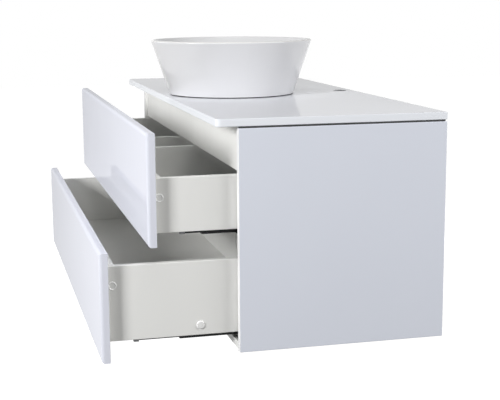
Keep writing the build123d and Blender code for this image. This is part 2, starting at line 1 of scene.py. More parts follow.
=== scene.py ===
# %% [markdown]
# # Dressing a wall-hung vanity with a vessel basin
# The cabinet, its drawers, the runners, the basin and the trap arrive as exact solids in metres.
# They are loaded once and stay where they are: this lesson gives them light, finishes and small parts.
# X runs to the right, Y towards the wall and Z up, and the wall is the plane Y = 0.

# %% Load the measured model
import json
import math

import bpy
from mathutils import Matrix, Vector


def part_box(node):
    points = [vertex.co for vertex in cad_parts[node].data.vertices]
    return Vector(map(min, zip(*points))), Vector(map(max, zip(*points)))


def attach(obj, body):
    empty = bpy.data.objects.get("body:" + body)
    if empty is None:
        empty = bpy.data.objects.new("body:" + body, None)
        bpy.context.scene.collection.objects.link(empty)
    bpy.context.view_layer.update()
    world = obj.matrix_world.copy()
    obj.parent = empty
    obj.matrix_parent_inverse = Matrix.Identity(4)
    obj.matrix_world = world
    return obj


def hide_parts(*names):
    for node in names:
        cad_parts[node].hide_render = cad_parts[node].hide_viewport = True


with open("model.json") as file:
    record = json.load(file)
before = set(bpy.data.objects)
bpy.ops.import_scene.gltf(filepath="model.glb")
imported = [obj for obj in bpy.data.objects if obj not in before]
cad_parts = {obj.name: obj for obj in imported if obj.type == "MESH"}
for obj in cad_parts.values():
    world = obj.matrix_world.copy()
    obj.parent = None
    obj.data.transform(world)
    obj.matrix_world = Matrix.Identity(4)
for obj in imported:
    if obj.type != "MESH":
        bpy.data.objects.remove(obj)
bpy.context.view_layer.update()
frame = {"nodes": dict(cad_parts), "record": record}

nodes = frame["nodes"]
bpy.ops.object.select_all(action="DESELECT")

# %% [markdown]
# ## Colour
# A white piece of furniture is judged by small steps of grey, so the picture must not bend them.
# The Standard view writes a colour out as it was mixed, where a film-like view would dull the whites.

# %% Plain colour output
scene = bpy.context.scene
scene.view_settings.view_transform = "Standard"
print("view transform", scene.view_settings.view_transform)

# %% [markdown]
# ## Camera
# The picture looks at the right side panel from a little in front of it and a little above.
# A camera turns about three axes in order: first the roll about its own line of sight, then the pitch
# up from straight down, then the turn about the vertical. Multiplying the three turns keeps each one
# readable, where three Euler numbers copied from a viewport would say nothing.

# %% Camera
picture_width, focal_pixels = 500, 1130.1
sensor_width = 36
camera_place = (2.7796, -0.9794, 0.3217)
turn, pitch, roll = (math.radians(angle) for angle in (75.775, -10.144, -0.344))
bpy.ops.object.camera_add(location=camera_place)
camera = bpy.context.object
about_sight_line = Matrix.Rotation(roll, 3, "Z")
up_from_straight_down = Matrix.Rotation(math.pi / 2 + pitch, 3, "X")
about_vertical = Matrix.Rotation(turn, 3, "Z")
camera.rotation_euler = (about_vertical @ up_from_straight_down @ about_sight_line).to_euler()
camera.data.sensor_width = sensor_width
camera.data.lens = sensor_width * focal_pixels / picture_width
scene.camera = camera
print("lens", round(camera.data.lens, 1), "mm")

# %% [markdown]
# ## Backdrop
# The studio is white all round. What the camera, a mirror or a glass sees of the world is pure white,
# but the light that the world sends onto the furniture is weaker, so that the lamps still model the form.
# The Light Path node tells these kinds of ray apart.


# %% Helpers for the world and the floor
def feed(tree, value, socket):
    """Set a socket to a number or a colour, or link another socket to it."""
    if isinstance(value, (int, float, tuple)):
        socket.default_value = value
    else:
        tree.links.new(value, socket)


def calculate(tree, operation, *values):
    """The result of a Math node, with each value a number or a socket."""
    node = tree.nodes.new("ShaderNodeMath")
    node.operation = operation
    for value, socket in zip(values, node.inputs):
        feed(tree, value, socket)
    return node.outputs[0]


def shown_or_spread(tree, shown, spread):
    """One shader for rays from the camera, a mirror or a glass, and another for light that spreads."""
    path = tree.nodes.new("ShaderNodeLightPath")
    seen = calculate(tree, "MAXIMUM", path.outputs["Is Camera Ray"], path.outputs["Is Glossy Ray"])
    choose = tree.nodes.new("ShaderNodeMixShader")
    tree.links.new(calculate(tree, "MAXIMUM", seen, path.outputs["Is Transmission Ray"]), choose.inputs[0])
    tree.links.new(spread.outputs[0], choose.inputs[1])
    tree.links.new(shown.outputs[0], choose.inputs[2])
    return choose.outputs[0]


print("backdrop helpers ready")

# %% White world
ambient_colour, ambient_strength = (0.98, 0.98, 0.92, 1), 0.06
world = bpy.data.worlds.new("white_studio")
world.use_nodes = True
scene.world = world
tree = world.node_tree
tree.nodes.clear()
ambient = tree.nodes.new("ShaderNodeBackground")
ambient.inputs["Color"].default_value = ambient_colour
ambient.inputs["Strength"].default_value = ambient_strength
white = tree.nodes.new("ShaderNodeBackground")
white.inputs["Color"].default_value = (1, 1, 1, 1)
white.inputs["Strength"].default_value = 1
world_output = tree.nodes.new("ShaderNodeOutputWorld")
tree.links.new(shown_or_spread(tree, white, ambient), world_output.inputs["Surface"])
print("world strength", ambient_strength)

# %% [markdown]
# ## Floor
# The vanity hangs on a wall, so the floor lies well below it, at the height that puts the basin's rim
# within easy reach. The floor glows almost white by itself, and a share of plain diffuse white on top
# still takes the soft shadow. Away from the furniture the glow rises to full white, so that no line
# shows where the floor ends and the world begins.

# %% Floor
floor_height, floor_size = -0.80, 24
bpy.ops.mesh.primitive_plane_add(size=floor_size, location=(0, 0, floor_height))
floor = bpy.context.object
floor.name = "studio_floor"
bpy.ops.object.transform_apply(location=True, rotation=True, scale=True)
print("floor at", floor_height)


# %% Floor paint
def span(tree, value, low, high, to_low, to_high):
    """A value carried from one range to another and held at its ends."""
    node = tree.nodes.new("ShaderNodeMapRange")
    tree.links.new(value, node.inputs["Value"])
    for label, end in (("From Min", low), ("From Max", high), ("To Min", to_low), ("To Max", to_high)):
        feed(tree, end, node.inputs[label])
    return node.outputs["Result"]


bounce_grey, shadow_grey = (0.15, 0.15, 0.15, 1), (0.28, 0.28, 0.28, 1)
near_reach, near_glow = 1.2, 0.94
far_reach, far_glow = 4.0, 1.0
floor_paint = bpy.data.materials.new("floor_paint")
floor_paint.use_nodes = True
tree = floor_paint.node_tree
tree.nodes.clear()
bounce = tree.nodes.new("ShaderNodeBsdfDiffuse")
bounce.inputs["Color"].default_value = bounce_grey
takes_shadow = tree.nodes.new("ShaderNodeBsdfDiffuse")
takes_shadow.inputs["Color"].default_value = shadow_grey
away = tree.nodes.new("ShaderNodeVectorMath")
away.operation = "LENGTH"
tree.links.new(tree.nodes.new("ShaderNodeTexCoord").outputs["Object"], away.inputs[0])
glow = tree.nodes.new("ShaderNodeEmission")
rise = span(tree, away.outputs["Value"], near_reach, far_reach, near_glow, far_glow)
tree.links.new(rise, glow.inputs["Strength"])
shown = tree.nodes.new("ShaderNodeAddShader")
tree.links.new(takes_shadow.outputs[0], shown.inputs[0])
tree.links.new(glow.outputs[0], shown.inputs[1])
floor_output = tree.nodes.new("ShaderNodeOutputMaterial")
tree.links.new(shown_or_spread(tree, shown, bounce), floor_output.inputs["Surface"])
floor.data.materials.append(floor_paint)
print("floor painted with", floor_paint.name)

# %% [markdown]
# ## Lamps
# The shadow that each drawer front throws on its box tells where the main lamp stands: in front of the
# cabinet and to the right, nearer to the fronts' side than to the side panel's, and not high. It is a
# small softbox, because the edge of that shadow is only a little soft. Three wide panels fill the rest:
# one for the fronts, one from the wall's side for the side panel, and a weak one overhead for the
# counter and the bowl. A fourth stands low on the left, where the picture doesn't look, so that the left
# side isn't dark when the piece is turned round. Mirrors don't see that one, because it would burn a
# white patch into the counter's gloss.


# %% Lamps
def softbox(name, place, aim, size, watts):
    """A square lamp of the given size, turned to face a point."""
    bpy.ops.object.light_add(type="AREA", location=place)
    lamp = bpy.context.object
    lamp.name = name
    lamp.rotation_euler = (Vector(aim) - Vector(place)).to_track_quat("-Z", "Y").to_euler()
    lamp.data.size = size
    lamp.data.energy = watts
    lamp.visible_camera = False
    return lamp


softbox("main_softbox", place=(2.0, -3.1, 1.02), aim=(0.0, -0.4, 0.0), size=0.8, watts=98)
softbox("front_panel", place=(-1.8, -3.6, 1.0), aim=(0.0, -0.5, 0.0), size=1.8, watts=24)
softbox("wall_side_panel", place=(2.0, 2.3, 0.9), aim=(0.0, -0.3, 0.0), size=1.8, watts=63)
softbox("top_panel", place=(1.0, -0.6, 2.8), aim=(0.0, -0.4, 0.0), size=1.8, watts=25)
left_panel = softbox("left_panel", place=(-3.0, 0.6, 0.0), aim=(0.0, -0.2, -0.15), size=1.4, watts=30)
left_panel.visible_glossy = False

# %% [markdown]
# ## Shared effects
# Several finishes need the same few things: a skin with a fine relief, a gloss that changes from touch to
# touch, a colour that isn't quite even, and a zone, such as an edge or a foot, that looks different from
# the rest. Each is a node group with its own inputs, built once and placed in many materials. All of
# them read Object coordinates, which are metres on the real piece, so a scale of 400 makes grains of
# about 2.5 mm on every board.


# %% Node group helpers
def start_group(name, inputs, outputs):
    """An empty shader group with named value or colour sockets."""
    group = bpy.data.node_groups.new(name, "ShaderNodeTree")
    for label, value in inputs.items():
        kind = "NodeSocketColor" if isinstance(value, tuple) else "NodeSocketFloat"
        group.interface.new_socket(label, in_out="INPUT", socket_type=kind).default_value = value
    for label, kind in outputs.items():
        group.interface.new_socket(label, in_out="OUTPUT", socket_type=kind)
    return group, group.nodes.new("NodeGroupInput"), group.nodes.new("NodeGroupOutput")


def noise(tree, scale, detail, roughness=0.5, stretch=None):
    """A noise texture on Object coordinates, with its scale a number or a socket."""
    place = tree.nodes.new("ShaderNodeTexCoord").outputs["Object"]
    if stretch:
        mapping = tree.nodes.new("ShaderNodeMapping")
        mapping.inputs["Scale"].default_value = stretch
        tree.links.new(place, mapping.inputs["Vector"])
        place = mapping.outputs["Vector"]
    texture = tree.nodes.new("ShaderNodeTexNoise")
    tree.links.new(place, texture.inputs["Vector"])
    feed(tree, scale, texture.inputs["Scale"])
    texture.inputs["Detail"].default_value = detail
    texture.inputs["Roughness"].default_value = roughness
    return texture.outputs["Fac"]


def blend(tree, share, first, second):
    """A colour between two others, each a tuple or a socket."""
    node = tree.nodes.new("ShaderNodeMix")
    node.data_type = "RGBA"
    tree.links.new(share, node.inputs["Factor"])
    for label, colour in (("A", first), ("B", second)):
        socket = [s for s in node.inputs if s.name == label and s.type == "RGBA"][0]
        feed(tree, colour, socket)
    return [s for s in node.outputs if s.type == "RGBA"][0]


print("group helpers ready")

# %% Group: a skin with fine relief
wave_weight = 3.0
skin, enter, leave = start_group("Skin_Relief", {"Grain": 400.0, "Wave": 30.0}, {"Height": "NodeSocketFloat"})
fine = noise(skin, enter.outputs["Grain"], detail=1.0)
broad = noise(skin, enter.outputs["Wave"], detail=0.0)
skin.links.new(calculate(skin, "MULTIPLY_ADD", broad, wave_weight, fine), leave.inputs["Height"])
print("group", skin.name)

# %% Group: a gloss that varies with handling
wipe_scale, wipe_stretch = 40.0, (1.0, 1.0, 0.12)
untouched, rubbed = 0.15, 0.4
handling, enter, leave = start_group(
    "Handling", {"Smooth": 0.1, "Touched": 0.2, "Patch": 6.0}, {"Roughness": "NodeSocketFloat"}
)
patches = noise(handling, enter.outputs["Patch"], detail=4.0, roughness=0.6)
wiped = noise(handling, wipe_scale, detail=3.0, stretch=wipe_stretch)
wear = calculate(handling, "MULTIPLY", patches, wiped)
touched = span(handling, wear, untouched, rubbed, enter.outputs["Smooth"], enter.outputs["Touched"])
handling.links.new(touched, leave.inputs["Roughness"])
print("group", handling.name)

# %% Group: a colour that drifts a little
cloud_share, speck_share = 0.5, 0.5
plain_below, shaded_above = 0.38, 0.62
drift, enter, leave = start_group(
    "Tone_Drift",
    {"Colour": (0.8, 0.8, 0.8, 1), "Shade": (0.75, 0.75, 0.75, 1), "Cloud": 5.0, "Speck": 900.0},
    {"Colour": "NodeSocketColor"},
)
cloud = noise(drift, enter.outputs["Cloud"], detail=3.0)
speck = noise(drift, enter.outputs["Speck"], detail=1.0)
clouds = calculate(drift, "MULTIPLY", cloud, cloud_share)
mottle = calculate(drift, "MULTIPLY_ADD", speck, speck_share, clouds)
share = span(drift, mottle, plain_below, shaded_above, 0.0, 1.0)
drift.links.new(blend(drift, share, enter.outputs["Colour"], enter.outputs["Shade"]), leave.inputs["Colour"])
print("group", drift.name)

# %% Group: a zone along an axis of the piece
zone, enter, leave = start_group(
    "Zone", {"X": 0.0, "Y": 0.0, "Z": 0.0, "Start": 0.0, "End": 1.0}, {"Mask": "NodeSocketFloat"}
)
direction = zone.nodes.new("ShaderNodeCombineXYZ")
for axis in "XYZ":
    zone.links.new(enter.outputs[axis], direction.inputs[axis])
along = zone.nodes.new("ShaderNodeVectorMath")
along.operation = "DOT_PRODUCT"
zone.links.new(zone.nodes.new("ShaderNodeTexCoord").outputs["Object"], along.inputs[0])
zone.links.new(direction.outputs["Vector"], along.inputs[1])
inside = span(zone, along.outputs["Value"], enter.outputs["Start"], enter.outputs["End"], 0.0, 1.0)
zone.links.new(inside, leave.inputs["Mask"])
print("group", zone.name)


# %% Material helpers
def place_group(tree, group, **values):
    """A group in a material, with some of its inputs set."""
    node = tree.nodes.new("ShaderNodeGroup")
    node.node_tree = group
    for label, value in values.items():
        node.inputs[label].default_value = value
    return node


def common_finish(name, colour, shade, gloss, grain, depth, cloud=5.0, patch=6.0, wave=30.0):
    """A finish from three of the groups. gloss is a pair of roughness values, depth is in metres."""
    finish = bpy.data.materials.new(name)
    finish.use_nodes = True
    tree = finish.node_tree
    shader = tree.nodes["Principled BSDF"]
    tone = place_group(tree, drift, Colour=(*colour, 1), Shade=(*shade, 1), Cloud=cloud)
    tree.links.new(tone.outputs["Colour"], shader.inputs["Base Color"])
    touch = place_group(tree, handling, Smooth=gloss[0], Touched=gloss[1], Patch=patch)
    tree.links.new(touch.outputs["Roughness"], shader.inputs["Roughness"])
    texture = place_group(tree, skin, Grain=grain, Wave=wave)
    bump = tree.nodes.new("ShaderNodeBump")
    bump.inputs["Distance"].default_value = depth
    tree.links.new(texture.outputs["Height"], bump.inputs["Height"])
    tree.links.new(bump.outputs["Normal"], shader.inputs["Normal"])
    return finish, tree, shader


def zone_mask(tree, start, end, **direction):
    """A mask that rises from 0 to 1 between two places along a direction."""
    return place_group(tree, zone, Start=start, End=end, **direction).outputs["Mask"]


def tint(tree, shader, mask, colour):
    """Lay another colour over a finish where a mask is 1."""
    below = shader.inputs["Base Color"].links[0].from_socket
    tree.links.new(blend(tree, mask, below, (*colour, 1)), shader.inputs["Base Color"])


print("material helpers ready")

# %% [markdown]
# ## Lacquer
# The fronts, the side panels and the counter are fibreboard under sprayed lacquer. Close up the skin has a
# faint waviness, and its white leans to blue. A mirror would be too strong for it: a matt white base under a
# thin clear coat gives the weak but sharp reflections of such furniture. The fronts and the side panels are
# one lacquer, but the panels' white is mixed a little apart from the fronts', which is painted light. The
# lacquer is only where it shows. The backs of the fronts are plain white board. The inner faces of the side
# panels are plain board, and the panels' front edges carry a white band. Both are mixed whiter than the board
# and the lacquer, which is partly painted light. The mesh needs no cuts for that, because a zone on Object
# coordinates lays the other colour wherever such a face lies.


# %% Sprayed lacquer
shade_step = (0.012, 0.012, 0.010)
coat_roughness = 0.03


def sprayed(name, white, coat):
    """Sprayed lacquer: a matt white that drifts to a slightly darker one, under a clear coat."""
    shade = tuple(part - step for part, step in zip(white, shade_step))
    finish, tree, shader = common_finish(
        name, white, shade, gloss=(0.28, 0.36), grain=220.0, depth=0.00001, wave=18.0
    )
    shader.inputs["Specular IOR Level"].default_value = 0.0
    shader.inputs["Coat Weight"].default_value = coat
    shader.inputs["Coat Roughness"].default_value = coat_roughness
    return finish, tree, shader


print("lacquer helper ready")

# %% Lacquer of the drawer fronts
# Painted light: the fronts' white and the panels' white below differ a little, though the lacquer is the
# same.
front_white, front_coat = (0.768, 0.785, 0.870), 0.40
board_white = (0.835, 0.835, 0.815)
face_depth, face_fade = 0.0002, 0.0004
front_lacquer = {}
for drawer in ("upper", "lower"):
    front_lacquer[drawer], tree, shader = sprayed(f"{drawer}_front_lacquer", front_white, front_coat)
    board_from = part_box(f"{drawer}_front")[1].y - face_depth
    tint(tree, shader, zone_mask(tree, board_from - face_fade, board_from, Y=1.0), board_white)
print("front lacquers", [finish.name for finish in front_lacquer.values()])

# %% Lacquer of the side panels
# Painted light: the panels' lacquer is mixed a shade apart from the fronts' white.
panel_white, panel_coat = (0.787, 0.818, 0.903), 0.30
edge_band_and_painted_light, band_depth = (0.90, 0.90, 0.91), 0.0006
inner_board_and_painted_light = (0.93, 0.93, 0.92)
panel_lacquer, tree, shader = sprayed("panel_lacquer", panel_white, panel_coat)
panel_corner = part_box("side_panel_right")[0]
band_from = -panel_corner.y - band_depth
# Partly painted light: the panels' front-edge band is mixed whiter than the board.
tint(tree, shader, zone_mask(tree, band_from - face_fade, band_from, Y=-1.0), edge_band_and_painted_light)
inner_from = -panel_corner.x - face_depth
right_of_left_panel = zone_mask(tree, inner_from - face_fade, inner_from, X=1.0)
left_of_right_panel = zone_mask(tree, inner_from - face_fade, inner_from, X=-1.0)
between_panels = calculate(tree, "MULTIPLY", right_of_left_panel, left_of_right_panel)
# Partly painted light: the panels' inner faces are mixed whiter than the board elsewhere.
tint(tree, shader, between_panels, inner_board_and_painted_light)
print("panel lacquer", panel_lacquer.name)

# %% [markdown]
# ## Counter
# The counter has more clear coat than the fronts, and mirrors the bowl. That mirrored white adds to its own,
# so the top is mixed greyer than the edges. The edges' lighter white is painted light, because the lacquer is
# the same all over. Round the bowl's foot the counter is painted near black. This is a painted shadow of the
# narrow gap under the foot, and it shows as the thin line round the foot. The wall of the tap hole is painted
# dark grey as painted shade in the bore. Both are round, so a mask measures the distance from an upright
# axis.

# %% Counter lacquer
counter_white, counter_coat = (0.745, 0.758, 0.800), 0.62
# Painted light: the counter's edges are mixed a lighter white than its top, though both are the same lacquer.
edge_painted_light, edge_starts, edge_full = (0.90, 0.925, 0.975), 0.0004, 0.0010
counter_lacquer, tree, shader = sprayed("counter_lacquer", counter_white, counter_coat)
counter_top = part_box("countertop")[1].z
below_top = zone_mask(tree, edge_starts - counter_top, edge_full - counter_top, Z=-1.0)
tint(tree, shader, below_top, edge_painted_light)
print("counter lacquer", counter_lacquer.name)

# %% Painted shadow round the foot and painted shade in the tap hole
disc_fade = 0.0003


def from_axis(tree, centre):
    """The level offset of a point from an upright axis."""
    offset = tree.nodes.new("ShaderNodeMapping")
    offset.inputs["Location"].default_value = (-centre[0], -centre[1], 0)
    offset.inputs["Scale"].default_value = (1, 1, 0)
    tree.links.new(tree.nodes.new("ShaderNodeTexCoord").outputs["Object"], offset.inputs["Vector"])
    return offset.outputs["Vector"]


def disc(tree, centre, radius):
    """A mask of 1 within a radius of an upright axis."""
    reach = tree.nodes.new("ShaderNodeVectorMath")
    reach.operation = "LENGTH"
    tree.links.new(from_axis(tree, centre), reach.inputs[0])
    return span(tree, reach.outputs["Value"], radius, radius + disc_fade, 1.0, 0.0)


basin_low, basin_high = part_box("basin")
basin_centre = (basin_low + basin_high) / 2
# Painted shadow: the counter round the bowl's foot is painted near black, where the gap under the foot lies
# in shade.
gap_painted_shadow, gap_shadow_radius = (0.045, 0.045, 0.046), 0.1545
tint(tree, shader, disc(tree, basin_centre, gap_shadow_radius), gap_painted_shadow)
# Painted shade: the wall of the tap hole is painted dark grey, where the bore lies in shade.
bore_painted_shade, tap_radius = (0.16, 0.16, 0.17), 0.0175
tap_mount = [mount for mount in frame["record"]["mounts"] if mount["name"] == "tap_hole"][0]
round_bore = disc(tree, tap_mount["pos_m"], tap_radius + disc_fade)
tint(tree, shader, calculate(tree, "MULTIPLY", round_bore, below_top), bore_painted_shade)
print("tap hole at", [round(v, 3) for v in tap_mount["pos_m"]])

# %% [markdown]
# ## Melamine
# The drawer boxes and the inner boards are chipboard faced with printed paper in melamine resin. It is a
# warmer white than the lacquer, and its pressed pearl grain makes it satin.

# %% Melamine
board_shade = (0.815, 0.815, 0.795)
melamine = common_finish(
    "pearl_melamine", board_white, board_shade, gloss=(0.34, 0.46), grain=1100.0, depth=0.00003
)[0]
print("board facing", melamine.name)

# %% [markdown]
# ## Glaze
# The bowl is fired clay under a thick white glaze. The glaze runs thin on the sharp rim, where it looks a
# little warmer. The bowl's lowest millimetre is painted dark, as a painted shadow of the narrow gap under its
# foot. Inside, the picture shows a slightly greyer white than outside. No lamp would darken the inside alone,
# so a mask picks the faces that look towards the bowl's axis and mixes their white a little darker, as
# painted shade.

# %% Glaze
glaze_white, glaze_shade = (0.735, 0.736, 0.752), (0.725, 0.726, 0.744)
glaze, tree, shader = common_finish(
    "white_glaze", glaze_white, glaze_shade, gloss=(0.10, 0.16), grain=60.0, depth=0.00003, wave=14.0
)
rim_white, rim_starts, rim_full = (0.745, 0.736, 0.718), 0.0030, 0.0008
tint(tree, shader, zone_mask(tree, basin_high.z - rim_starts, basin_high.z - rim_full, Z=1.0), rim_white)
# Painted shadow: the bowl's lowest millimetre is painted dark, as if in the shade of the gap under its foot.
foot_painted_shadow, foot_starts, foot_full = (0.22, 0.21, 0.20), 0.0015, 0.0010
tint(tree, shader, zone_mask(tree, -basin_low.z - foot_starts, -basin_low.z - foot_full, Z=-1.0), foot_painted_shadow)
print("glaze", glaze.name)

# %% Painted shade inside the bowl
# Painted shade: the faces looking towards the bowl's axis get a darker white than the same glaze outside.
inner_painted_shade = (0.645, 0.645, 0.655)
facing_in, facing_along = -0.02, -0.005
outward = tree.nodes.new("ShaderNodeVectorMath")
outward.operation = "DOT_PRODUCT"
tree.links.new(from_axis(tree, basin_centre), outward.inputs[0])
tree.links.new(tree.nodes.new("ShaderNodeTexCoord").outputs["Normal"], outward.inputs[1])
tint(tree, shader, span(tree, outward.outputs["Value"], facing_in, facing_along, 1.0, 0.0), inner_painted_shade)
print("inner glaze", inner_painted_shade)

# %% [markdown]
# ## Small parts
# Rubber seals, the plated waste, moulded plastic, zinc-plated screws and the black coated runners each get
# the same groups with other values, and a metal is metal all over. The caps on the drawer sides are a shinier
# plastic than the trap. Their rim is mixed a whiter white than their face, which is a painted highlight on
# one moulding.

# %% Rubber and plastics
rubber_black, rubber_worn = (0.030, 0.030, 0.031), (0.045, 0.045, 0.046)
rubber = common_finish(
    "black_rubber", rubber_black, rubber_worn, gloss=(0.55, 0.75), grain=1600.0, depth=0.00004
)[0]
trap_plastic = common_finish(
    "white_plastic", (0.83, 0.83, 0.82), (0.80, 0.80, 0.79), gloss=(0.28, 0.42), grain=900.0, depth=0.00002
)[0]
clip_plastic = common_finish(
    "grey_plastic", (0.15, 0.155, 0.16), (0.13, 0.134, 0.14), gloss=(0.38, 0.5), grain=1000.0, depth=0.00003
)[0]
face_plastic = common_finish(
    "face_plastic", (0.85, 0.85, 0.84), (0.83, 0.83, 0.82), gloss=(0.35, 0.45), grain=900.0, depth=0.00002
)[0]
# Painted highlight: the rim is mixed a brighter white than the face of the same moulding.
rim_plastic_painted_highlight, tree, shader = common_finish(
    "rim_plastic_painted_highlight", (0.96, 0.96, 0.96), (0.94, 0.94, 0.94), gloss=(0.12, 0.22), grain=900.0, depth=0.00001
)
shader.inputs["Specular IOR Level"].default_value = 0.9
shader.inputs["Coat Weight"].default_value = 1.0
shader.inputs["Coat Roughness"].default_value = 0.08
shader.inputs["Coat IOR"].default_value = 1.8
print("plastics done")

# %% Metals
chrome, tree, shader = common_finish(
    "polished_chrome",
    (0.80, 0.81, 0.83),
    (0.76, 0.77, 0.80),
    gloss=(0.04, 0.12),
    grain=300.0,
    depth=0.000002,
    patch=30.0,
)
shader.inputs["Metallic"].default_value = 1.0
zinc, tree, shader = common_finish(
    "zinc_plate",
    (0.62, 0.63, 0.65),
    (0.52, 0.53, 0.52),
    gloss=(0.25, 0.45),
    grain=700.0,
    depth=0.00001,
    cloud=60.0,
    patch=50.0,
)
shader.inputs["Metallic"].default_value = 1.0
runner_coat, tree, shader = common_finish(
    "black_coat",
    (0.008, 0.008, 0.009),
    (0.014, 0.014, 0.015),
    gloss=(0.45, 0.6),
    grain=900.0,
    depth=0.00002,
    cloud=25.0,
)
shader.inputs["Specular IOR Level"].default_value = 0.25
print("metals done")

# %% [markdown]
# ## Putting the finishes on
# Every solid names a material slot in its record, so one table from slot to finish dresses most of them.
# The counter and the fronts share the lacquer slot with the side panels but have their own mixes, so a
# second table names those.

# %% Assign
finish_of_slot = {
    "gloss_white": panel_lacquer,
    "matt_white": melamine,
    "ceramic": glaze,
    "black_rubber": rubber,
    "chrome": chrome,
    "white_plastic": trap_plastic,
    "zinc_steel": zinc,
    "grey_plastic": clip_plastic,
    "dark_steel": runner_coat,
}
finish_of_node = {
    "countertop": counter_lacquer,
    "upper_front": front_lacquer["upper"],
    "lower_front": front_lacquer["lower"],
}
subparts = frame["record"]["subparts"]
for part in subparts:
    finish = finish_of_node.get(part["node"], finish_of_slot[part["material_slot"]])
    dressed = nodes[part["node"]].data.materials
    dressed.clear()
    dressed.append(finish)
print("dressed", len(subparts))

# %% [markdown]
# ## Modelling by operators
# The small turned and moulded parts are modelled here, as by hand. An operator works on whatever is
# selected, so each piece starts with everything deselected, and faces are picked in code by where they
# lie. Each part is shaped once, upright at the origin, and copies of it are then set in place.


# %% Modelling helpers
def clear_selection():
    """Leave nothing selected, so that an operator touches only what comes next."""
    bpy.ops.object.select_all(action="DESELECT")


def start_round(radius, low, high, sides):
    """Add an upright cylinder between two heights and open it in edit mode."""
    clear_selection()
    bpy.ops.mesh.primitive_cylinder_add(
        vertices=sides, radius=radius, depth=high - low, location=(0, 0, (low + high) / 2)
    )
    bpy.ops.object.transform_apply(location=True, rotation=True, scale=True)
    bpy.ops.object.mode_set(mode="EDIT")
    return bpy.context.object


def pick_faces(test):
    """In edit mode, select the faces whose centre and normal pass the test."""
    bpy.ops.mesh.select_mode(type="FACE")
    bpy.ops.mesh.select_all(action="DESELECT")
    bpy.ops.object.mode_set(mode="OBJECT")
    for face in bpy.context.object.data.polygons:
        face.select = test(face.center, face.normal)
    bpy.ops.object.mode_set(mode="EDIT")


def push_faces(shift, scale=1.0):
    """Extrude the picked faces by a shift, then scale the new ones about the Z axis."""
    bpy.ops.mesh.extrude_region_move(TRANSFORM_OT_translate={"value": shift})
    bpy.ops.transform.resize(value=(scale, scale, 1.0), center_override=(0, 0, 0))


def end_editing():
    """Leave edit mode and say how many faces the piece has."""
    bpy.ops.object.mode_set(mode="OBJECT")
    return len(bpy.context.object.data.polygons)


print("modelling helpers ready")

# %% Tests that pick faces
looks_level, looks_upright, near_axis = 0.9, 0.1, 0.001


def facing_up(centre, normal):
    """True for a face that looks up."""
    return normal.z > looks_level


def facing_down(centre, normal):
    """True for a face that looks down."""
    return normal.z < -looks_level


def facing_out(centre, normal):
    """True for a face that stands upright."""
    return abs(normal.z) < looks_upright


def top_disc(centre, normal):
    """True for the round face on top, whose centre is on the axis."""
    return facing_up(centre, normal) and centre.xy.length < near_axis


def bottom_disc(centre, normal):
    """True for the round face below, whose centre is on the axis."""
    return facing_down(centre, normal) and centre.xy.length < near_axis


print("face tests ready")

# %% Copying helpers
smooth_angle = math.radians(35)


def cut_with(piece, cutter):
    """Take the cutter's shape out of a piece and remove the cutter."""
    clear_selection()
    bpy.context.view_layer.objects.active = piece
    piece.select_set(True)
    cut = piece.modifiers.new("cut", "BOOLEAN")
    cut.operation = "DIFFERENCE"
    cut.solver = "EXACT"
    cut.object = cutter
    bpy.ops.object.modifier_apply(modifier=cut.name)
    bpy.data.objects.remove(cutter)


def place_copies(name, source_places):
    """One mesh object made of copies of modelled pieces. source_places pairs a piece with a matrix."""
    copies = []
    for source, matrix in source_places:
        copy = source.copy()
        copy.data = source.data.copy()
        bpy.context.collection.objects.link(copy)
        copy.matrix_world = matrix
        copies.append(copy)
    clear_selection()
    for copy in copies:
        copy.select_set(True)
    bpy.context.view_layer.objects.active = copies[0]
    if len(copies) > 1:
        bpy.ops.object.join()
    bpy.ops.object.transform_apply(location=True, rotation=True, scale=True)
    piece = bpy.context.object
    piece.name = name
    bpy.ops.object.shade_smooth_by_angle(angle=smooth_angle)
    clear_selection()
    return piece


def fit_out(piece, body, node):
    """Parent a modelled piece to the body that it moves with, and hide the solid that it stands for."""
    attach(piece, body)
    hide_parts(node)


def drop_source(*sources):
    """Remove the upright originals once their copies are in place."""
    for source in sources:
        bpy.data.objects.remove(source)


print("copying helpers ready")

# %% [markdown]
# ## Cover caps
# Small moulded caps hide the screws in the drawer sides: a dished one with a raised rim near each end, and
# a flat button further down. A cylinder's top is inset and pushed in for the dish, and the rim is
# bevelled until it is round, because it is the round rim that catches the light in the shade of the
# drawer's front.

# %% Model the dished cap
cap_sides = 48
cap_radius, cap_height, cap_rim, cap_dish = 0.0085, 0.0016, 0.0020, 0.0012
rim_round, dish_taper = 0.42 * cap_rim, 0.92
stem_radius, stem_length = 0.0025, 0.008
dished_cap = start_round(cap_radius, 0, cap_height, cap_sides)
pick_faces(facing_down)
bpy.ops.mesh.inset(thickness=cap_radius - stem_radius)
push_faces((0, 0, -stem_length))
pick_faces(facing_up)
bpy.ops.mesh.inset(thickness=cap_rim)
push_faces((0, 0, -cap_dish), dish_taper)
pick_faces(lambda centre, normal: facing_up(centre, normal) and centre.xy.length > cap_radius - cap_rim)
bpy.ops.mesh.region_to_loop()
bpy.ops.mesh.bevel(offset=rim_round, segments=4, affect="EDGES")
print("dished cap", end_editing(), "faces")

# %% Model the flat button
button_height, button_round = 0.0025, 0.0016
flat_button = start_round(cap_radius, 0, button_height, cap_sides)
pick_faces(facing_down)
bpy.ops.mesh.inset(thickness=cap_radius - stem_radius)
push_faces((0, 0, -stem_length))
pick_faces(facing_up)
bpy.ops.mesh.bevel(offset=button_round, segments=5, affect="EDGES")
print("flat button", end_editing(), "faces")

